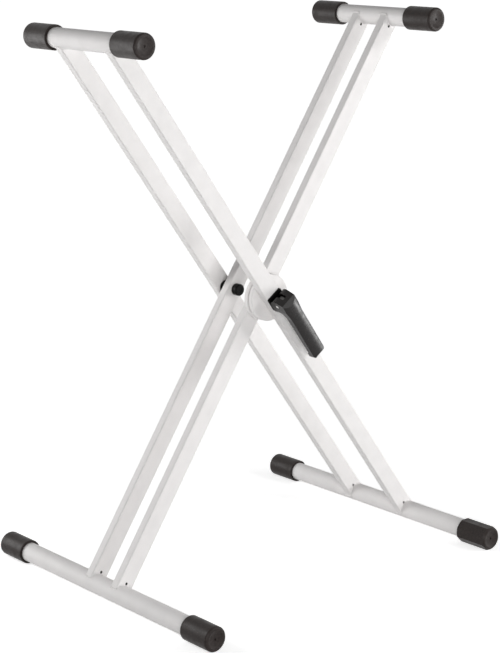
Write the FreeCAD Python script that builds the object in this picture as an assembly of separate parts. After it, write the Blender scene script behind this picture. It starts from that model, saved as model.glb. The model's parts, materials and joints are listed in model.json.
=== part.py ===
import FreeCAD, Part
import math
import os

# Folding X-frame stand for a keyboard: two nested frames of steel tube that cross at one pivot.
# A cam lever on the near side pulls a rod and clamps two friction discs, which hold the chosen height.
# Millimetres and degrees. The origin is on the floor under the pivot. +X is the way the legs spread,
# +Y runs along the round tubes, away from the lever, and +Z is up.

Vector = FreeCAD.Vector
PIVOT_AXIS = Vector(0, 1, 0)
PIN_AXIS = Vector(1, 0, 0)
FULL_TURN = 360.0
EIGHTH_TURN = FULL_TURN / 8
HEX = 6
overrun = 5.0                 # how far a cutting tool runs past the face it cuts
fit_gap = 0.1                 # sliding and running fits, per side
weld_gap = 0.05               # between a pressed or welded piece and its hole, per side

# Legs
leg_reach = 1035.0            # along a leg, from the lower tube's axis to the upper tube's axis
lean_angle = 34.9             # a leg from the vertical, at the height shown
leg_width = 30.0              # wide face of the rectangular tube
leg_depth = 15.0              # narrow face, along the pivot
leg_wall = 1.5
leg_corner = 2.0
inner_leg_spacing = 66.0      # between the centre planes of the inner pair
vent_radius = 2.3             # drain holes beside the welds, in one wall
vent_land = 0.7               # metal left between a drain hole and the round tube

# Round tubes
tube_radius = 15.5
tube_wall = 1.5
upper_span = 280.0            # over both caps
lower_span = 540.0            # over both caps

# Push-on caps
cap_radius = 19.5
cap_length = 60.0
cap_floor = 8.0               # solid end behind the tube
cap_end_round = 3.5
cap_mouth_round = 1.2
dish_radius = 14.0
dish_depth = 2.2
dimple_radius = 2.0
dimple_depth = 1.2
tube_end_gap = 0.3            # between a tube's end and its cap's floor

# Levelling cap, an octagon set off centre from its bore
level_sides = 8
level_length = 61.0
level_offset = 1.5
level_offset_angle = 60.0     # from straight down, towards the middle of the stand
level_end_taper = 3.6         # length of the turned taper at the closed end
level_mouth_taper = 1.0
level_end_radius = 16.8
level_dish_radius = 14.9

# Near pivot: friction discs, tension rod and its nut
sleeve_radius = 9.0
disc_radius = 38.0
disc_thickness = 8.5
disc_chamfer = 1.2
ring_outer_radius = 35.0
ring_inner_radius = 15.0
ring_thickness = 2.0
rod_radius = 4.0
eye_radius = 7.5
eye_width = 8.0
eye_round = 2.0               # rounded rim of the eye
rod_washer_radius = 12.0
rod_washer_thickness = 2.0
spring_radius = 11.0
spring_thickness = 1.2
spring_cone = 0.8             # cone height of the disc spring
rod_nut_flats = 13.0
rod_nut_height = 6.5
rod_end_length = 3.0          # thread that shows past the nut

# Far pivot: bolt, spacer and capped nut
far_gap = 11.2                # between the outer and the inner leg
spacer_radius = 10.75
bolt_radius = 4.0
bolt_end_length = 0.5
bolt_head_radius = 9.5
bolt_head_height = 4.8
bolt_head_rim = 1.4           # straight edge under the dome
bolt_washer_radius = 9.0
bolt_washer_thickness = 1.6
bolt_nut_flats = 13.0
bolt_nut_height = 6.5
nut_bevel_share = 0.94        # turned face of a nut, as a share of its width across flats
nut_cap_radius = 9.8
nut_cap_height = 10.0
nut_cap_roof = 1.6
nut_cap_round = 2.4
nut_cap_recess_radius = 4.0
nut_cap_recess_depth = 0.7

# Cam lever, seen from its side: along the leg from the pin, and out from the leg's face
lever_swing = 110.0
cam_spare = 5.0               # degrees of cam left past the full swing
saddle_length = 23.4
saddle_thickness = 3.0
saddle_corner = 2.0
cam_clearance = 0.3
cam_radius = 11.85
cam_offset = 1.04
pin_radius = 3.0
pin_recess = 0.4              # each end, below the side of the head
head_width = 30.0
grip_width = 26.0
slot_gap = 0.35               # around the rod's eye
slot_roof = 24.6              # height of the bridge over the eye
heel_reach = 11.7             # from the pin to the heel of the head
heel_height = 9.0             # top of the straight heel
web_radius = 11.0             # hollow curve from the heel to the grip
crest_back = 3.5              # from the pin back to the crest of the head
crest_height = 30.5
brow_reach = 6.0              # from the pin to the highest point
brow_height = 33.4
tip_reach = 118.0             # from the pin to the end of the grip
tip_height = 29.6
tip_round = 4.0
lip_length = 11.0             # finger lip under the tip
lip_height = 17.0
neck_reach = 28.0             # where the head has narrowed to the grip
grip_corner = 6.0             # rounding of the tip seen from outside
crown_radius = 46.0           # cross curve of the grip's outer face

# Places worked out from the sizes above
pivot_height = cap_radius + leg_reach / 2 * math.cos(math.radians(lean_angle))
foot_spread = leg_reach / 2 * math.sin(math.radians(lean_angle))
outer_turn = -lean_angle
inner_turn = lean_angle
upper_end = leg_reach / 2
lower_end = -leg_reach / 2
near_gap = 2 * disc_thickness + ring_thickness + fit_gap
inner_far_y = inner_leg_spacing / 2
inner_near_y = -inner_leg_spacing / 2
outer_far_y = inner_far_y + leg_depth + far_gap
outer_near_y = inner_near_y - leg_depth - near_gap
outer_upper_y = (outer_far_y + outer_near_y) / 2
face_y = outer_near_y - leg_depth / 2
cam_angle = math.radians(FULL_TURN / 4 - lever_swing / 2)
cam_along = cam_offset * math.sin(cam_angle)
cam_out = saddle_thickness + cam_clearance + cam_radius
pin_out = cam_out + cam_offset * math.cos(cam_angle)


def solid(shape):
    """The single solid that a cut or a join gives."""
    return shape.removeSplitter().Solids[0]


def rod_y(radius, y_from, y_to, z=0):
    """Round bar along the pivot."""
    return Part.makeCylinder(radius, y_to - y_from, Vector(0, y_from, z), PIVOT_AXIS)


def rod_x(radius, length, y):
    """Round bar along the lever's pin, centred on the leg."""
    return Part.makeCylinder(radius, length, Vector(-length / 2, y, 0), PIN_AXIS)


def ring_y(outer, inner, y_from, y_to):
    """Washer or sleeve along the pivot."""
    return solid(rod_y(outer, y_from, y_to).cut(rod_y(inner, y_from - overrun, y_to + overrun)))


def outline(start, *moves):
    """Closed wire from a start: each move is an end point, or a middle and an end point for an arc."""
    edges = []
    here = start
    for move in moves:
        if isinstance(move, tuple):
            edges.append(Part.Arc(here, move[0], move[1]).toShape())
            here = move[1]
        else:
            edges.append(Part.LineSegment(here, move).toShape())
            here = move
    edges.append(Part.LineSegment(here, start).toShape())
    return Part.Wire(edges)


def turned(start, *moves):
    """Solid turned about the pivot from an outline of radii and distances."""
    return Part.Face(outline(start, *moves)).revolve(Vector(), PIVOT_AXIS, FULL_TURN)


def prism_y(sides, across_flats, y_from, y_to):
    """Prism along the pivot with one flat facing down."""
    reach = across_flats / 2 / math.cos(math.pi / sides)
    corners = []
    for index in range(sides + 1):
        angle = math.pi * (2 * index + 1) / sides - math.pi / 2
        corners.append(Vector(reach * math.cos(angle), y_from, reach * math.sin(angle)))
    return Part.Face(Part.makePolygon(corners)).extrude(Vector(0, y_to - y_from, 0))


def arc_middle(centre, radius, degrees):
    """Point on a circle in the plane of a turned outline."""
    angle = math.radians(degrees)
    return centre + Vector(radius * math.cos(angle), radius * math.sin(angle), 0)


def stand_up(shape, turn):
    """Moves a piece from an upright leg, with the pivot at the origin, to its place in the stand."""
    placed = shape.copy()
    placed.rotate(Vector(), PIVOT_AXIS, turn)
    placed.translate(Vector(0, 0, pivot_height))
    return placed


def leg(y_centre):
    """Rectangular tube, coped to both round tubes, with its pivot hole and drain holes."""
    low_corner = Vector(-leg_width / 2, -leg_depth / 2, lower_end)
    bar = Part.makeBox(leg_width, leg_depth, leg_reach, low_corner)
    long_edges = [edge for edge in bar.Edges if edge.BoundBox.ZLength > leg_reach / 2]
    bar = bar.makeFillet(leg_corner, long_edges)
    hollow_width = leg_width - 2 * leg_wall
    hollow_depth = leg_depth - 2 * leg_wall
    hollow_corner = Vector(-hollow_width / 2, -hollow_depth / 2, lower_end - overrun)
    hollow = Part.makeBox(hollow_width, hollow_depth, leg_reach + 2 * overrun, hollow_corner)
    through = leg_depth / 2 + overrun
    vent_end = upper_end - tube_radius - vent_land - vent_radius
    cuts = [hollow, rod_y(sleeve_radius + weld_gap, -through, through)]
    for side in (-1, 1):
        cuts.append(rod_y(tube_radius, -through, through, side * upper_end))
        cuts.append(rod_y(vent_radius, -through, 0, side * vent_end))
    made = solid(bar.cut(cuts))
    made.translate(Vector(0, y_centre, 0))
    return made


def leg_sleeve(y_centre, shaft_radius):
    """Tube welded through a leg, so that the pivot can't crush its walls."""
    return ring_y(sleeve_radius, shaft_radius + fit_gap, y_centre - leg_depth / 2, y_centre + leg_depth / 2)


def cross_tube(span, y_centre, end):
    """Round tube across the ends of two legs."""
    half = span / 2 - cap_floor - tube_end_gap
    made = ring_y(tube_radius, tube_radius - tube_wall, -half, half)
    made.translate(Vector(0, y_centre, end))
    return made


def end_dish(rim_radius, length):
    """Outline of a cap's closed end: from the rim, across the hollow dish and its dimple, to the axis."""
    floor = length - dish_depth
    hollow = Vector((rim_radius + dimple_radius) / 2, floor + dish_depth / 4, 0)
    return [
        (hollow, Vector(dimple_radius, floor, 0)),
        Vector(dimple_radius, floor - dimple_depth, 0),
        Vector(0, floor - dimple_depth, 0),
    ]


def round_cap():
    """Push-on cap, open at the origin and closed at its full length."""
    mouth = Vector(cap_radius - cap_mouth_round, cap_mouth_round, 0)
    shoulder = Vector(cap_radius - cap_end_round, cap_length - cap_end_round, 0)
    bore = tube_radius + weld_gap
    bore_end = cap_length - cap_floor
    return turned(
        Vector(bore, 0, 0),
        Vector(mouth.x, 0, 0),
        (arc_middle(mouth, cap_mouth_round, -EIGHTH_TURN), Vector(cap_radius, mouth.y, 0)),
        Vector(cap_radius, shoulder.y, 0),
        (arc_middle(shoulder, cap_end_round, EIGHTH_TURN), Vector(shoulder.x, cap_length, 0)),
        Vector(dish_radius, cap_length, 0),
        *end_dish(dish_radius, cap_length),
        Vector(0, bore_end, 0),
        Vector(bore, bore_end, 0),
    )


def octagon_cap():
    """Eight-sided cap with its bore off centre: each flat stands at its own distance from the tube."""
    drop = level_offset * math.cos(math.radians(level_offset_angle))
    aside = level_offset * math.sin(math.radians(level_offset_angle))
    apothem = cap_radius - drop
    corner = apothem / math.cos(math.pi / level_sides)
    lathe = turned(
        Vector(0, 0, 0),
        Vector(apothem - level_mouth_taper / 2, 0, 0),
        Vector(corner, level_mouth_taper, 0),
        Vector(corner, level_length - level_end_taper, 0),
        Vector(level_end_radius, level_length, 0),
        Vector(level_dish_radius, level_length, 0),
        *end_dish(level_dish_radius, level_length),
    )
    body = prism_y(level_sides, 2 * apothem, 0, level_length).common(lathe)
    body.translate(Vector(-aside, 0, -drop))
    return solid(body.cut(rod_y(tube_radius + fit_gap, -overrun, level_length - cap_floor)))


def seat_cap(cap, length, span, side):
    """Moves a cap to one end of a cross tube: side is 1 at the far end, -1 at the near end, which it faces."""
    placed = cap.copy()
    placed.translate(Vector(0, span / 2 - length, 0))
    if side < 0:
        placed = placed.mirror(Vector(), PIVOT_AXIS)
    return placed


def cap_on_frame(span, y_centre, end, side):
    """Round cap on one end of a frame's cross tube."""
    placed = seat_cap(round_cap(), cap_length, span, side)
    placed.translate(Vector(0, y_centre, end))
    return placed


def friction_disc(y_from):
    """Round clamping plate with chamfered rims."""
    y_to = y_from + disc_thickness
    bore = rod_radius + fit_gap
    return turned(
        Vector(bore, y_from, 0),
        Vector(disc_radius - disc_chamfer, y_from, 0),
        Vector(disc_radius, y_from + disc_chamfer, 0),
        Vector(disc_radius, y_to - disc_chamfer, 0),
        Vector(disc_radius - disc_chamfer, y_to, 0),
        Vector(bore, y_to, 0),
    )


def hex_nut(flats, bore, y_from, y_to):
    """Hexagon nut with both ends bevelled."""
    corner = flats / 2 / math.cos(math.pi / HEX)
    face = flats / 2 * nut_bevel_share
    bevel = (corner - face) * math.tan(math.pi / HEX)
    lathe = turned(
        Vector(bore, y_from, 0),
        Vector(face, y_from, 0),
        Vector(corner, y_from + bevel, 0),
        Vector(corner, y_to - bevel, 0),
        Vector(face, y_to, 0),
        Vector(bore, y_to, 0),
    )
    return solid(prism_y(HEX, flats, y_from, y_to).common(lathe))


def mushroom_bolt(y_tip, y_seat):
    """Round-headed pivot bolt, its head on the far side."""
    rim = y_seat + bolt_head_rim
    top = y_seat + bolt_head_height
    dome_radius = ((top - rim) ** 2 + bolt_head_radius ** 2) / (top - rim) / 2
    dome_centre = top - dome_radius
    half_angle = math.asin(bolt_head_radius / dome_radius) / 2
    shoulder = Vector(dome_radius * math.sin(half_angle), dome_centre + dome_radius * math.cos(half_angle), 0)
    return turned(
        Vector(0, y_tip, 0),
        Vector(bolt_radius, y_tip, 0),
        Vector(bolt_radius, y_seat, 0),
        Vector(bolt_head_radius, y_seat, 0),
        Vector(bolt_head_radius, rim, 0),
        (shoulder, Vector(0, top, 0)),
    )


def nut_cover(y_seat):
    """Round cover over the pivot nut, open towards the leg, with a shallow recess in its face."""
    y_end = y_seat - nut_cap_height
    rim = Vector(nut_cap_radius - nut_cap_round, y_end + nut_cap_round, 0)
    cover = turned(
        Vector(0, y_seat, 0),
        Vector(nut_cap_radius, y_seat, 0),
        Vector(nut_cap_radius, rim.y, 0),
        (arc_middle(rim, nut_cap_round, -EIGHTH_TURN), Vector(rim.x, y_end, 0)),
        Vector(nut_cap_recess_radius, y_end, 0),
        Vector(nut_cap_recess_radius, y_end + nut_cap_recess_depth, 0),
        Vector(0, y_end + nut_cap_recess_depth, 0),
    )
    pocket = prism_y(HEX, bolt_nut_flats + 2 * fit_gap, y_end + nut_cap_roof, y_seat + overrun)
    return solid(cover.cut(pocket))


def cone_spring(y_from):
    """Disc spring, its rim on the washer and its hole against the nut."""
    inner = rod_radius + fit_gap
    return turned(
        Vector(spring_radius, y_from, 0),
        Vector(spring_radius, y_from + spring_thickness, 0),
        Vector(inner, y_from + spring_cone + spring_thickness, 0),
        Vector(inner, y_from + spring_cone, 0),
    )


def eye_rod(y_end):
    """Tension rod with a flat eye for the lever's pin."""
    pin_y = face_y - pin_out
    hole_radius = pin_radius + fit_gap
    eye = rod_x(eye_radius, eye_width, pin_y)
    rims = [edge for edge in eye.Edges if edge.BoundBox.XLength < eye_width / 2]
    eye = eye.makeFillet(eye_round, rims).cut(rod_x(hole_radius, eye_width + 2 * overrun, pin_y))
    shank = rod_y(rod_radius, pin_y + (hole_radius + eye_radius) / 2, y_end)
    return solid(eye.fuse(shank))


def saddle():
    """Thrust pad on the leg's face, under the cam."""
    corner = Vector(-leg_width / 2, face_y - saddle_thickness, -saddle_length / 2)
    pad = Part.makeBox(leg_width, saddle_thickness, saddle_length, corner)
    upright = [edge for edge in pad.Edges if edge.BoundBox.YLength > saddle_thickness / 2]
    pad = pad.makeFillet(saddle_corner, upright)
    return solid(pad.cut(rod_y(rod_radius + fit_gap, face_y - saddle_thickness - overrun, face_y + overrun)))


def side_point(along, out, across=0):
    """Point beside the near outer leg: along it from the pin, out from its face and across it."""
    return Vector(across, face_y - out, -along)


def lever_side_view():
    """Outline of the lever seen from its side: cam, heel, hollow web, grip with its lip, and crest."""
    cam_low = cam_out - cam_radius
    past_swing = math.radians(lever_swing + cam_spare)
    cam_end = (cam_along - cam_radius * math.sin(past_swing), cam_out - cam_radius * math.cos(past_swing))
    cam_half = math.sin(past_swing / 2), math.cos(past_swing / 2)
    cam_middle = (cam_along - cam_radius * cam_half[0], cam_out - cam_radius * cam_half[1])
    slant = math.sqrt(1 / 2)
    web = (heel_reach + web_radius, heel_height)
    web_middle = (web[0] - web_radius * slant, web[1] + web_radius * slant)
    grip_low = heel_height + web_radius
    lip_start = tip_reach - lip_length
    lip_step = grip_low - lip_height
    tip = (tip_reach - tip_round, tip_height - tip_round)
    tip_middle = (tip[0] + tip_round * slant, tip[1] + tip_round * slant)
    return outline(
        side_point(*cam_end),
        (side_point(*cam_middle), side_point(cam_along, cam_low)),
        side_point(heel_reach, cam_low),
        side_point(heel_reach, heel_height),
        (side_point(*web_middle), side_point(web[0], grip_low)),
        side_point(lip_start - lip_step, grip_low),
        side_point(lip_start, lip_height),
        side_point(tip_reach - lip_step, lip_height),
        side_point(tip_reach, grip_low),
        side_point(tip_reach, tip[1]),
        (side_point(*tip_middle), side_point(tip[0], tip_height)),
        side_point(brow_reach, brow_height),
        side_point(-crest_back, crest_height),
    )


def lever_outside_view():
    """Outline of the lever seen from outside: wide head, neck, and grip with a rounded tip."""
    half_head = head_width / 2
    half_grip = grip_width / 2
    back = -cam_radius - overrun
    corner = grip_corner * math.sqrt(1 / 2)
    inset = tip_reach - grip_corner
    low = -overrun
    return outline(
        side_point(back, low, -half_head),
        side_point(heel_reach, low, -half_head),
        side_point(neck_reach, low, -half_grip),
        side_point(inset, low, -half_grip),
        (side_point(inset + corner, low, grip_corner - half_grip - corner),
         side_point(tip_reach, low, grip_corner - half_grip)),
        side_point(tip_reach, low, half_grip - grip_corner),
        (side_point(inset + corner, low, half_grip - grip_corner + corner), side_point(inset, low, half_grip)),
        side_point(neck_reach, low, half_grip),
        side_point(heel_reach, low, half_head),
        side_point(back, low, half_head),
    )


def cam_lever():
    """Fork-headed lever: side and outside views cut to one body, crowned, slotted and drilled for its pin."""
    side = lever_side_view()
    side.translate(Vector(-head_width / 2, 0, 0))
    body = Part.Face(side).extrude(Vector(head_width, 0, 0))
    outside = Part.Face(lever_outside_view()).extrude(Vector(0, -brow_height - 2 * overrun, 0))
    brow = side_point(brow_reach, brow_height)
    slope = (side_point(tip_reach - tip_round, tip_height) - brow).normalize()
    inward = PIN_AXIS.cross(slope)
    crown_start = brow + inward * crown_radius - slope * (brow_reach + cam_radius + overrun)
    crown = Part.makeCylinder(crown_radius, tip_reach + 2 * cam_radius + 2 * overrun, crown_start, slope)
    slot_width = eye_width + 2 * slot_gap
    slot_back = cam_radius + overrun
    slot_corner = side_point(eye_radius + slot_gap, slot_roof, -slot_width / 2)
    slot = Part.makeBox(slot_width, slot_roof, eye_radius + slot_gap + slot_back, slot_corner)
    pin_hole = rod_x(pin_radius + weld_gap, head_width + 2 * overrun, face_y - pin_out)
    return solid(body.common(outside).common(crown).cut([slot, pin_hole]))


def outer_frame():
    """Pieces fixed to the outer pair of legs, upright about the pivot."""
    near_inside = outer_near_y + leg_depth / 2
    pieces = {
        "outer_leg_near": leg(outer_near_y),
        "outer_leg_far": leg(outer_far_y),
        "outer_upper_tube": cross_tube(upper_span, outer_upper_y, upper_end),
        "outer_lower_tube": cross_tube(lower_span, 0, lower_end),
        "outer_upper_cap_near": cap_on_frame(upper_span, outer_upper_y, upper_end, -1),
        "outer_upper_cap_far": cap_on_frame(upper_span, outer_upper_y, upper_end, 1),
        "outer_lower_cap_far": cap_on_frame(lower_span, 0, lower_end, 1),
        "outer_sleeve_near": leg_sleeve(outer_near_y, rod_radius),
        "outer_sleeve_far": leg_sleeve(outer_far_y, bolt_radius),
        "outer_clamp_disc": friction_disc(near_inside),
        "cam_saddle": saddle(),
    }
    return pieces


def far_pivot():
    """Bolt through the far legs, with its spacer and capped nut."""
    spacer_start = inner_far_y + leg_depth / 2 + fit_gap
    spacer_end = outer_far_y - leg_depth / 2
    washer_end = inner_far_y - leg_depth / 2 - fit_gap
    nut_end = washer_end - bolt_washer_thickness
    nut_start = nut_end - bolt_nut_height
    return {
        "pivot_spacer": ring_y(spacer_radius, bolt_radius + fit_gap, spacer_start, spacer_end),
        "pivot_bolt": mushroom_bolt(nut_start - bolt_end_length, outer_far_y + leg_depth / 2),
        "pivot_washer": ring_y(bolt_washer_radius, bolt_radius + fit_gap, nut_end, washer_end),
        "pivot_nut": hex_nut(bolt_nut_flats, bolt_radius + weld_gap, nut_start, nut_end),
        "nut_cap": nut_cover(nut_end),
    }


def inner_frame():
    """Pieces fixed to the inner pair of legs, upright about the pivot."""
    ring_start = outer_near_y + leg_depth / 2 + disc_thickness + fit_gap
    pieces = {
        "inner_leg_near": leg(inner_near_y),
        "inner_leg_far": leg(inner_far_y),
        "inner_sleeve_near": leg_sleeve(inner_near_y, rod_radius),
        "inner_sleeve_far": leg_sleeve(inner_far_y, bolt_radius),
        "inner_clamp_disc": friction_disc(ring_start + ring_thickness),
        "friction_ring": ring_y(ring_outer_radius, ring_inner_radius, ring_start, ring_start + ring_thickness),
    }
    for level, span, end in (("upper", upper_span, upper_end), ("lower", lower_span, lower_end)):
        pieces[f"inner_{level}_tube"] = cross_tube(span, 0, end)
        for name, side in (("near", -1), ("far", 1)):
            pieces[f"inner_{level}_cap_{name}"] = cap_on_frame(span, 0, end, side)
    return pieces


def clamp():
    """Tension rod with its washer, spring and nut, and the lever on its pin."""
    washer_start = inner_near_y + leg_depth / 2 + fit_gap
    spring_start = washer_start + rod_washer_thickness
    nut_start = spring_start + spring_cone + spring_thickness
    nut_end = nut_start + rod_nut_height
    return {
        "tension_rod": eye_rod(nut_end + rod_end_length),
        "rod_washer": ring_y(rod_washer_radius, rod_radius + fit_gap, washer_start, spring_start),
        "disc_spring": cone_spring(spring_start),
        "rod_nut": hex_nut(rod_nut_flats, rod_radius + weld_gap, nut_start, nut_end),
        "clamp_lever": cam_lever(),
        "lever_pin": rod_x(pin_radius, head_width - 2 * pin_recess, face_y - pin_out),
    }


def levelling_foot():
    """The levelling cap on the near end of the outer frame's lower tube, one flat on the floor."""
    placed = seat_cap(octagon_cap(), level_length, lower_span, -1)
    placed.translate(Vector(foot_spread, 0, cap_radius))
    return placed


def main():
    os.makedirs("parts", exist_ok=True)
    stand = {"levelling_cap": levelling_foot()}
    for pieces, turn in ((outer_frame(), outer_turn), (far_pivot(), outer_turn),
                         (clamp(), outer_turn), (inner_frame(), inner_turn)):
        for name, shape in pieces.items():
            stand[name] = stand_up(shape, turn)
    for name, shape in stand.items():
        shape.exportStep(f"parts/{name}.step")
        print(f"{name}: {len(shape.Solids)} solid, valid {shape.isValid()}, {shape.Volume / 1000:.2f} cm3")


main()
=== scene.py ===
import json
import math

import bmesh
import bpy
from mathutils import Matrix, Vector


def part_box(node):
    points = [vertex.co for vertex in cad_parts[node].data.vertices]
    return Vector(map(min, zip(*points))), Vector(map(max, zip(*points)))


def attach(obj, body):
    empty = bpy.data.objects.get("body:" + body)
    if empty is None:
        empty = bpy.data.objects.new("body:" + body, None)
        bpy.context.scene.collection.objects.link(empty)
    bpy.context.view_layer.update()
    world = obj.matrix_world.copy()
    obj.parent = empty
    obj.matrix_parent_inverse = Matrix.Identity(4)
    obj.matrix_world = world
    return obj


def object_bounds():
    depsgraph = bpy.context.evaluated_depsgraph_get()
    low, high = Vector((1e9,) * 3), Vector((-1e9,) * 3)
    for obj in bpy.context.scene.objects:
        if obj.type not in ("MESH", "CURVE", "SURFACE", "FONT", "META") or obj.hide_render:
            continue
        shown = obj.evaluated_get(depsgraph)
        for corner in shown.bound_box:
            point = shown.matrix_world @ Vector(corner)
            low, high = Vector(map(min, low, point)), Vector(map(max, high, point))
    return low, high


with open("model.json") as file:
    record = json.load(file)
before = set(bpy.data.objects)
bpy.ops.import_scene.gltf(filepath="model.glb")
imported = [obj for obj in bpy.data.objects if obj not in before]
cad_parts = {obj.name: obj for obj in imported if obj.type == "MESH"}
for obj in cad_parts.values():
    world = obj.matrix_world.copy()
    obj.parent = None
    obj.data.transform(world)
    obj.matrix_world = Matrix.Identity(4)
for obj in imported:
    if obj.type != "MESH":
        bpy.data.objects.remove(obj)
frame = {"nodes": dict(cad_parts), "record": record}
cad_low, cad_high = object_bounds()

# Camera of the photograph: place in metres in the stand's frame, focal length and optical centre in pixels
PICTURE_WIDTH = 500
PICTURE_HEIGHT = 653
CAMERA_PLACE = Vector((-1.8365, -2.1818, 1.10496))
CAMERA_YAW = math.radians(41.49)
CAMERA_PITCH = math.radians(-12.20)
CAMERA_ROLL = math.radians(-0.80)
FOCAL_PIXELS = 1814.6
CENTRE_X = 288.58
CENTRE_Y = 263.93
SENSOR_HEIGHT = 36.0

# Studio lamps: places and sizes in metres, powers in watts. All of them face the same point
LAMPS = {
    "key": {"place": (1.10, -2.10, 1.45), "size": 0.35, "power": 11.0},
    "front": {"place": (0.70, -2.60, 0.55), "size": 1.60, "power": 13.2},
    "right": {"place": (1.92, -1.25, 0.43), "size": 0.48, "height": 0.84, "power": 16.2},
    "fill": {"place": (-1.30, -2.40, 0.60), "size": 0.90, "power": 24.5},
    "back": {"place": (-1.00, 1.40, 0.60), "size": 0.95, "power": 14.0},
    "rim": {"place": (-1.30, 0.80, 1.20), "size": 0.60, "power": 5.4},
}
LAMP_TARGET = Vector((0, 0, 0.44))

# Light from overhead: its full strength, and how far up a direction points where it gets there
OVERHEAD = 0.15
OVERHEAD_FULL = 0.9

# Floor: its width in metres, its shades, and its glow near the stand and far from it, with the distances
FLOOR_SIZE = 30.0
FLOOR_SHADE = 0.86
FLOOR_LIGHT_SHADE = FLOOR_SHADE * 1.02
GLOW_NEAR = 0.62
GLOW_FAR = 0.95
GLOW_START = 0.5
GLOW_END = 2.5

# Legs, in metres: the radius of their corners, and their wall
LEG_CORNER = 0.002
LEG_WALL = 0.0015
DEPTH_AXIS = Vector((0, 1, 0))

# Weld beads, in metres: radius, ripple length, ring spacing, and distance kept from the drain hole's middle
BEAD_RADIUS = 0.0013
BEAD_PITCH = 0.0030
BEAD_STEP = 0.0006
BEAD_CLEAR = 0.0042
# Sides of a ring, and degrees between rings at a leg's corners
BEAD_SIDES = 10
BEAD_CORNER_DEGREES = 10
# Shares of the radius: what a ripple adds, the first ring of a bead, and what each later ring gains
BEAD_RIPPLE = 0.16
BEAD_TIP = 0.45
BEAD_GAIN = 0.2

# Softened edges of moulded pieces: widths in metres, and the least angle of an edge
SOFT_EDGES = {"clamp_lever": 0.0011, "cam_saddle": 0.0006, "levelling_cap": 0.0012}
SOFT_SEGMENTS = 3
SOFT_ANGLE = math.radians(32)

# Colours, and the shine of the coat
COAT = (0.845, 0.826, 0.818)
COAT_SHEEN = 0.22
# Bare steel inside the legs, darkened to near black with painted shade of the closed tube's inside
BARE_STEEL_AND_SHADE = (0.055, 0.050, 0.046)
CAP_BLACK = (0.0210, 0.0154, 0.0138)
LEVER_BLACK = (0.0060, 0.0044, 0.0040)
NYLON_BLACK = (0.0045, 0.0040, 0.0040)
ZINC = (0.66, 0.655, 0.64)
BLACK_OXIDE = (0.085, 0.083, 0.080)
LINING_DARK = (0.07, 0.065, 0.06)
LINING_FIBRE = (0.16, 0.15, 0.14)
LINING_SPECK = (0.34, 0.31, 0.27)

# Coarse grain of moulded plastic beside the fine one: cells to the metre, and depth
COARSE_SCALE = 0.35
COARSE_DEPTH = 1.6


def tint(colour, factor):
    """A colour made lighter or darker."""
    return tuple(min(part * factor, 1.0) for part in colour)


def middle(node):
    """Middle of a node's box."""
    low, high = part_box(node)
    return (low + high) / 2


def extent(node, axis):
    """Length of a node along a direction."""
    places = [vertex.co.dot(axis) for vertex in frame["nodes"][node].data.vertices]
    return max(places) - min(places)


def leg_axes(body):
    """Direction up the legs of a frame, and the one across their wide faces."""
    up = middle(f"{body}_upper_tube") - middle(f"{body}_lower_tube")
    up.y = 0
    up.normalize()
    return up, DEPTH_AXIS.cross(up)


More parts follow.
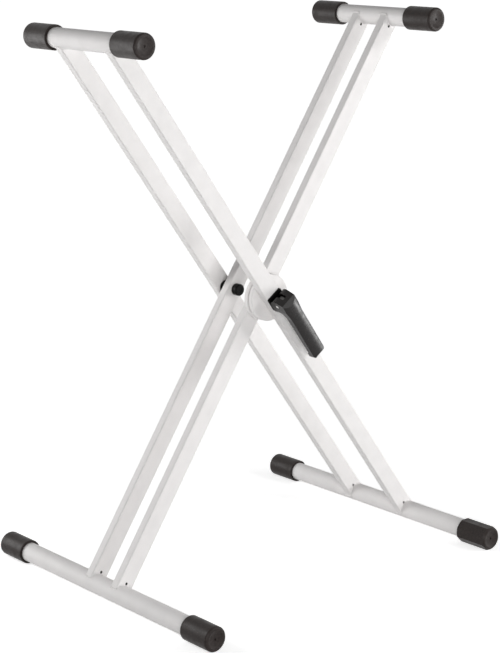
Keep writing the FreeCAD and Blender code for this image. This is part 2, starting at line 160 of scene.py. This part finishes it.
class Nodes:
    """Short way to add and join shader nodes. Scales are cells to the metre, depths are metres."""

    def __init__(self, tree):
        self.tree = tree

    def add(self, kind, **settings):
        node = self.tree.nodes.new(kind)
        for name, value in settings.items():
            setattr(node, name, value)
        return node

    def join(self, source, target):
        self.tree.links.new(source, target)

    def combine(self, operation, first, second):
        """Two values brought together."""
        node = self.add("ShaderNodeMath", operation=operation)
        self.join(first, node.inputs[0])
        self.join(second, node.inputs[1])
        return node.outputs[0]

    def noise(self, place, scale, detail, roughness=0.55):
        node = self.add("ShaderNodeTexNoise")
        node.inputs["Scale"].default_value = scale
        node.inputs["Detail"].default_value = detail
        node.inputs["Roughness"].default_value = roughness
        self.join(place, node.inputs["Vector"])
        return node.outputs["Fac"]

    def spread(self, value, low, high, start=0.0, end=1.0):
        """The range from start to end laid out between low and high."""
        node = self.add("ShaderNodeMapRange")
        node.inputs["From Min"].default_value = start
        node.inputs["From Max"].default_value = end
        node.inputs["To Min"].default_value = low
        node.inputs["To Max"].default_value = high
        self.join(value, node.inputs["Value"])
        return node.outputs["Result"]

    def shades(self, value, *stops):
        """A colour ramp: each stop is a place and a colour."""
        node = self.add("ShaderNodeValToRGB")
        ramp = node.color_ramp
        while len(ramp.elements) < len(stops):
            ramp.elements.new(1.0)
        for element, (place, colour) in zip(ramp.elements, stops):
            element.position = place
            element.color = (*colour, 1.0)
        self.join(value, node.inputs["Fac"])
        return node.outputs["Color"]

    def mottle(self, value, colour, darker, lighter, places):
        """A colour with darker and lighter spots: factors for both, and the values that have each shade."""
        return self.shades(value, *zip(places, (tint(colour, darker), colour, tint(colour, lighter))))

    def mix(self, factor, first, second):
        """One colour where the factor is 0, the other where it is 1."""
        node = self.add("ShaderNodeMix", data_type="RGBA")
        colours = [socket for socket in node.inputs if socket.type == "RGBA"]
        self.join(factor, node.inputs["Factor"])
        self.join(first, colours[0])
        self.join(second, colours[1])
        return next(socket for socket in node.outputs if socket.type == "RGBA")

    def within(self, place, axis, centre, reach):
        """1 where a place is at most so far from the centre along an axis, else 0."""
        along = self.add("ShaderNodeVectorMath", operation="DOT_PRODUCT")
        self.join(place, along.inputs[0])
        along.inputs[1].default_value = axis
        near = self.add("ShaderNodeMath", operation="COMPARE")
        self.join(along.outputs["Value"], near.inputs[0])
        near.inputs[1].default_value = centre.dot(axis)
        near.inputs[2].default_value = reach
        return near.outputs[0]

    def bump(self, height, depth, strength, below=None):
        """Relief of that depth, over another one where there is one."""
        node = self.add("ShaderNodeBump")
        node.inputs["Distance"].default_value = depth
        node.inputs["Strength"].default_value = strength
        self.join(height, node.inputs["Height"])
        if below is not None:
            self.join(below, node.inputs["Normal"])
        return node.outputs["Normal"]

    def seen_directly(self):
        """1 for rays from the camera, a mirror or glass, 0 for rays that carry light to a surface."""
        path = self.add("ShaderNodeLightPath").outputs
        opaque = self.combine("MAXIMUM", path["Is Camera Ray"], path["Is Glossy Ray"])
        return self.combine("MAXIMUM", opaque, path["Is Transmission Ray"])


def new_material(name):
    """A material with its nodes, its shader, and the place on the piece that its textures follow."""
    material = bpy.data.materials.new(name)
    material.use_nodes = True
    nodes = Nodes(material.node_tree)
    shader = material.node_tree.nodes["Principled BSDF"]
    place = nodes.add("ShaderNodeTexCoord").outputs["Object"]
    return material, nodes, shader, place


def leg_inside(nodes, place, leg):
    """1 on the walls inside a leg, 0 on its outside."""
    width_axis = leg_axes(leg.split("_")[0])[1]
    hollow = [nodes.within(place, axis, middle(leg), (extent(leg, axis) - LEG_WALL) / 2)
              for axis in (width_axis, DEPTH_AXIS)]
    return nodes.combine("MULTIPLY", *hollow)


def powder_coat(name, leg=None):
    """Pale satin powder coat: slight clouding, and the fine orange peel of baked powder.

    For a leg it stays on the outside. The walls inside are bare steel, darkened with painted shade, which
    shows through the drain holes.
    """
    material, nodes, shader, place = new_material(name)
    cloud = nodes.noise(place, scale=38.0, detail=4.0)
    colour = nodes.mottle(cloud, COAT, darker=0.965, lighter=1.02, places=(0.30, 0.55, 0.80))
    if leg:
        # Walls inside the leg: bare steel, darkened with painted shade
        steel = nodes.shades(cloud, (0.35, tint(BARE_STEEL_AND_SHADE, 0.6)), (0.65, BARE_STEEL_AND_SHADE))
        colour = nodes.mix(leg_inside(nodes, place, leg), colour, steel)
    nodes.join(colour, shader.inputs["Base Color"])
    peel = nodes.noise(place, scale=650.0, detail=2.0)
    nodes.join(nodes.spread(peel, low=0.46, high=0.60), shader.inputs["Roughness"])
    swell = nodes.bump(cloud, depth=0.0003, strength=0.10)
    nodes.join(nodes.bump(peel, depth=0.00006, strength=0.25, below=swell), shader.inputs["Normal"])
    shader.inputs["Specular IOR Level"].default_value = COAT_SHEEN
    return material


def moulded(name, base, grain, depth, rough, sheen):
    """Black moulded plastic: mottled shade, grain of that scale and depth, and scuffed gloss."""
    material, nodes, shader, place = new_material(name)
    coarse = nodes.noise(place, scale=grain * COARSE_SCALE, detail=5.0, roughness=0.65)
    fine = nodes.noise(place, scale=grain, detail=3.0, roughness=0.60)
    scuff = nodes.noise(place, scale=95.0, detail=4.0)
    colour = nodes.mottle(coarse, base, darker=0.62, lighter=1.55, places=(0.34, 0.52, 0.70))
    nodes.join(colour, shader.inputs["Base Color"])
    gloss = nodes.spread(scuff, low=rough - 0.09, high=rough + 0.12, start=0.3, end=0.7)
    nodes.join(gloss, shader.inputs["Roughness"])
    below = nodes.bump(coarse, depth=depth * COARSE_DEPTH, strength=0.35)
    nodes.join(nodes.bump(fine, depth=depth, strength=0.45, below=below), shader.inputs["Normal"])
    shader.inputs["Specular IOR Level"].default_value = sheen
    return material


def plated(name, base, rough, brush):
    """Plated or oiled steel: cloudy tone, and fine marks from its making, of that scale."""
    material, nodes, shader, place = new_material(name)
    shader.inputs["Metallic"].default_value = 1.0
    cloud = nodes.noise(place, scale=160.0, detail=4.0)
    marks = nodes.noise(place, scale=brush, detail=2.0, roughness=0.7)
    colour = nodes.mottle(cloud, base, darker=0.80, lighter=1.16, places=(0.30, 0.55, 0.78))
    nodes.join(colour, shader.inputs["Base Color"])
    gloss = nodes.spread(marks, low=rough - 0.08, high=rough + 0.12, start=0.3, end=0.7)
    nodes.join(gloss, shader.inputs["Roughness"])
    nodes.join(nodes.bump(marks, depth=0.00003, strength=0.30), shader.inputs["Normal"])
    return material


def lining():
    """Pressed friction lining: dark fibre with pale specks."""
    material, nodes, shader, place = new_material("friction_lining")
    fibre = nodes.noise(place, scale=750.0, detail=6.0, roughness=0.75)
    colour = nodes.shades(fibre, (0.35, LINING_DARK), (0.58, LINING_FIBRE), (0.74, LINING_SPECK))
    nodes.join(colour, shader.inputs["Base Color"])
    nodes.join(nodes.spread(fibre, low=0.72, high=0.95), shader.inputs["Roughness"])
    nodes.join(nodes.bump(fibre, depth=0.0002, strength=0.6), shader.inputs["Normal"])
    return material


MATERIALS = {
    "powder_coat": powder_coat("powder_coat"),
    "cap_plastic": moulded("cap_plastic", CAP_BLACK, grain=1100.0, depth=0.00008, rough=0.42, sheen=0.17),
    "lever_plastic": moulded(
        "lever_plastic", LEVER_BLACK, grain=1700.0, depth=0.00002, rough=0.22, sheen=0.27),
    "nylon": moulded("nylon", NYLON_BLACK, grain=1300.0, depth=0.00004, rough=0.30, sheen=0.09),
    "zinc_steel": plated("zinc_steel", ZINC, rough=0.26, brush=1800.0),
    "spring_steel": plated("spring_steel", BLACK_OXIDE, rough=0.34, brush=1200.0),
    "friction_lining": lining(),
}


def dress_nodes():
    """Gives each piece of the stand its material, and softens the edges of moulded ones."""
    for part in frame["record"]["subparts"]:
        name = part["node"]
        if "_leg_" in name:
            material = powder_coat(f"powder_coat_{name}", name)
        else:
            material = MATERIALS[part["material_slot"]]
        data = frame["nodes"][name].data
        data.materials.clear()
        data.materials.append(material)
    for name, width in SOFT_EDGES.items():
        edge = frame["nodes"][name].modifiers.new("soft_edges", "BEVEL")
        edge.width = width
        edge.segments = SOFT_SEGMENTS
        edge.limit_method = "ANGLE"
        edge.angle_limit = SOFT_ANGLE
        edge.harden_normals = True


def steps(start, end):
    """Even steps from start to end, about as long as the bead's step."""
    count = max(2, round((end - start) / BEAD_STEP))
    return [start + (end - start) * index / count for index in range(count + 1)]


def bead_path(width, depth, tube_radius):
    """Middle of the weld round a leg's end, in the leg's own frame with the round tube's axis as origin.

    The leg runs along -Z and the tube along Y. The weld starts at one side of the drain hole, in the
    middle of the near wide face, and goes round the leg to the other side of the hole.
    """
    side, face = width / 2, depth / 2
    corner_x, corner_y = side - LEG_CORNER, face - LEG_CORNER
    near = [Vector((x, -face, 0)) for x in steps(BEAD_CLEAR, corner_x)]
    angles = [math.radians(degrees) for degrees in range(BEAD_CORNER_DEGREES, 90, BEAD_CORNER_DEGREES)]
    turn = [Vector((corner_x + LEG_CORNER * math.sin(angle), -corner_y - LEG_CORNER * math.cos(angle), 0))
            for angle in angles]
    edge = [Vector((side, y, 0)) for y in steps(-corner_y, 0)]
    back = [Vector((p.x, -p.y, 0)) for p in reversed((turn + edge)[:-1])]
    far = [Vector((x, face, 0)) for x in reversed(steps(0, corner_x))]
    half = near + turn + edge + back + far
    whole = half + [Vector((-p.x, p.y, 0)) for p in reversed(half[:-1])]
    for point in whole:
        point.z = -math.sqrt(tube_radius ** 2 - point.x ** 2)
    return whole


def bead_mesh(name, path, place):
    """Rippled weld bead along an open path, closed at its ends."""
    mesh = bmesh.new()
    rings = []
    travelled = 0.0
    last = len(path) - 1
    for index, point in enumerate(path):
        before = path[max(index - 1, 0)]
        after = path[min(index + 1, last)]
        travelled += (point - before).length
        along = (after - before).normalized()
        across = along.cross(Vector((point.x, 0, point.z))).normalized()
        out = across.cross(along)
        ripple = 1 + BEAD_RIPPLE * math.sin(math.tau * travelled / BEAD_PITCH)
        taper = min(1.0, BEAD_TIP + BEAD_GAIN * min(index, last - index))
        radius = BEAD_RADIUS * ripple * taper
        ring = []
        for corner in range(BEAD_SIDES):
            angle = math.tau * corner / BEAD_SIDES
            offset = across * math.cos(angle) + out * math.sin(angle)
            ring.append(mesh.verts.new(point + offset * radius))
        rings.append(ring)
    for first, second in zip(rings, rings[1:]):
        for corner in range(BEAD_SIDES):
            beside = (corner + 1) % BEAD_SIDES
            mesh.faces.new((first[corner], first[beside], second[beside], second[corner]))
    mesh.faces.new(rings[0])
    mesh.faces.new(reversed(rings[-1]))
    bmesh.ops.recalc_face_normals(mesh, faces=mesh.faces)
    for face in mesh.faces:
        face.smooth = True
    data = bpy.data.meshes.new(name)
    mesh.to_mesh(data)
    mesh.free()
    data.transform(place)
    piece = bpy.data.objects.new(name, data)
    bpy.context.collection.objects.link(piece)
    return piece


def weld_legs():
    """Weld beads where each leg meets its two round tubes, in the same coat as the frame."""
    for body in ("outer", "inner"):
        up, width_axis = leg_axes(body)
        tube_low, tube_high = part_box(f"{body}_lower_tube")
        tube_radius = (tube_high.z - tube_low.z) / 2
        for level, out in (("upper", up), ("lower", -up)):
            tube = middle(f"{body}_{level}_tube")
            turn = Matrix((DEPTH_AXIS.cross(out), DEPTH_AXIS, out)).transposed()
            for side in ("near", "far"):
                leg = f"{body}_leg_{side}"
                path = bead_path(extent(leg, width_axis), extent(leg, DEPTH_AXIS), tube_radius)
                origin = Vector((tube.x, middle(leg).y, tube.z))
                place = Matrix.Translation(origin) @ turn.to_4x4()
                piece = bead_mesh(f"{body}_{level}_weld_{side}", path, place)
                piece.data.materials.append(MATERIALS["powder_coat"])
                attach(piece, f"{body}_frame")


def floor_material():
    """Pale matt floor that keeps soft shadows, and glows to the camera and to reflections, more so far off."""
    material, nodes, shader, place = new_material("studio_floor")
    grain = nodes.noise(place, scale=3.0, detail=3.0)
    shade = nodes.shades(grain, (0.3, (FLOOR_SHADE,) * 3), (0.7, (FLOOR_LIGHT_SHADE,) * 3))
    nodes.join(shade, shader.inputs["Base Color"])
    shader.inputs["Roughness"].default_value = 1.0
    shader.inputs["Specular IOR Level"].default_value = 0.0
    away = nodes.add("ShaderNodeVectorMath", operation="LENGTH")
    nodes.join(place, away.inputs[0])
    level = nodes.spread(away.outputs["Value"], GLOW_NEAR, GLOW_FAR, GLOW_START, GLOW_END)
    glow = nodes.add("ShaderNodeEmission")
    nodes.join(nodes.combine("MULTIPLY", nodes.seen_directly(), level), glow.inputs["Strength"])
    both = nodes.add("ShaderNodeAddShader")
    nodes.join(shader.outputs["BSDF"], both.inputs[0])
    nodes.join(glow.outputs["Emission"], both.inputs[1])
    nodes.join(both.outputs["Shader"], nodes.tree.nodes["Material Output"].inputs["Surface"])
    material.cycles.emission_sampling = "NONE"
    return material


def make_floor():
    """Floor that the stand rests on."""
    half = FLOOR_SIZE / 2
    data = bpy.data.meshes.new("floor")
    corners = [(-half, -half, 0), (half, -half, 0), (half, half, 0), (-half, half, 0)]
    data.from_pydata(corners, [], [(0, 1, 2, 3)])
    data.materials.append(floor_material())
    floor = bpy.data.objects.new("floor", data)
    floor.location.z = cad_low.z
    bpy.context.collection.objects.link(floor)


def make_world():
    """White backdrop to the camera and to reflections, and soft light from overhead to everything else."""
    world = bpy.data.worlds.new("studio")
    bpy.context.scene.world = world
    world.use_nodes = True
    nodes = Nodes(world.node_tree)
    background = world.node_tree.nodes["Background"]
    background.inputs["Color"].default_value = (1, 1, 1, 1)
    direction = nodes.add("ShaderNodeSeparateXYZ")
    nodes.join(nodes.add("ShaderNodeTexCoord").outputs["Generated"], direction.inputs[0])
    overhead = nodes.spread(direction.outputs["Z"], low=0.0, high=OVERHEAD, start=0.0, end=OVERHEAD_FULL)
    nodes.join(nodes.combine("MAXIMUM", overhead, nodes.seen_directly()), background.inputs["Strength"])


def make_lamp(name, lamp):
    """Soft box that faces the stand, square unless it has a height of its own."""
    data = bpy.data.lights.new(name, "AREA")
    data.shape = "RECTANGLE"
    data.size = lamp["size"]
    data.size_y = lamp.get("height", lamp["size"])
    data.energy = lamp["power"]
    piece = bpy.data.objects.new(name, data)
    piece.location = lamp["place"]
    piece.visible_camera = False
    piece.rotation_euler = (LAMP_TARGET - piece.location).to_track_quat("-Z", "Y").to_euler()
    bpy.context.collection.objects.link(piece)


def make_camera():
    """Camera at the photograph's viewing angle, with the photograph's framing as lens shift."""
    sin_yaw, cos_yaw = math.sin(CAMERA_YAW), math.cos(CAMERA_YAW)
    sin_pitch, cos_pitch = math.sin(CAMERA_PITCH), math.cos(CAMERA_PITCH)
    forward = Vector((sin_yaw * cos_pitch, cos_yaw * cos_pitch, sin_pitch))
    level = Vector((cos_yaw, -sin_yaw, 0))
    upright = level.cross(forward)
    right = level * math.cos(CAMERA_ROLL) + upright * math.sin(CAMERA_ROLL)
    up = upright * math.cos(CAMERA_ROLL) - level * math.sin(CAMERA_ROLL)
    data = bpy.data.cameras.new("photo_camera")
    data.sensor_fit = "VERTICAL"
    data.sensor_height = SENSOR_HEIGHT
    data.lens = FOCAL_PIXELS / PICTURE_HEIGHT * SENSOR_HEIGHT
    data.shift_x = (PICTURE_WIDTH / 2 - CENTRE_X) / PICTURE_HEIGHT
    data.shift_y = (CENTRE_Y - PICTURE_HEIGHT / 2) / PICTURE_HEIGHT
    camera = bpy.data.objects.new("photo_camera", data)
    rotation = Matrix((right, up, -forward)).transposed()
    camera.matrix_world = Matrix.Translation(CAMERA_PLACE) @ rotation.to_4x4()
    bpy.context.collection.objects.link(camera)
    bpy.context.scene.camera = camera


dress_nodes()
weld_legs()
make_floor()
make_world()
for lamp_name, lamp in LAMPS.items():
    make_lamp(lamp_name, lamp)
make_camera()
bpy.context.scene.view_settings.view_transform = "Standard"
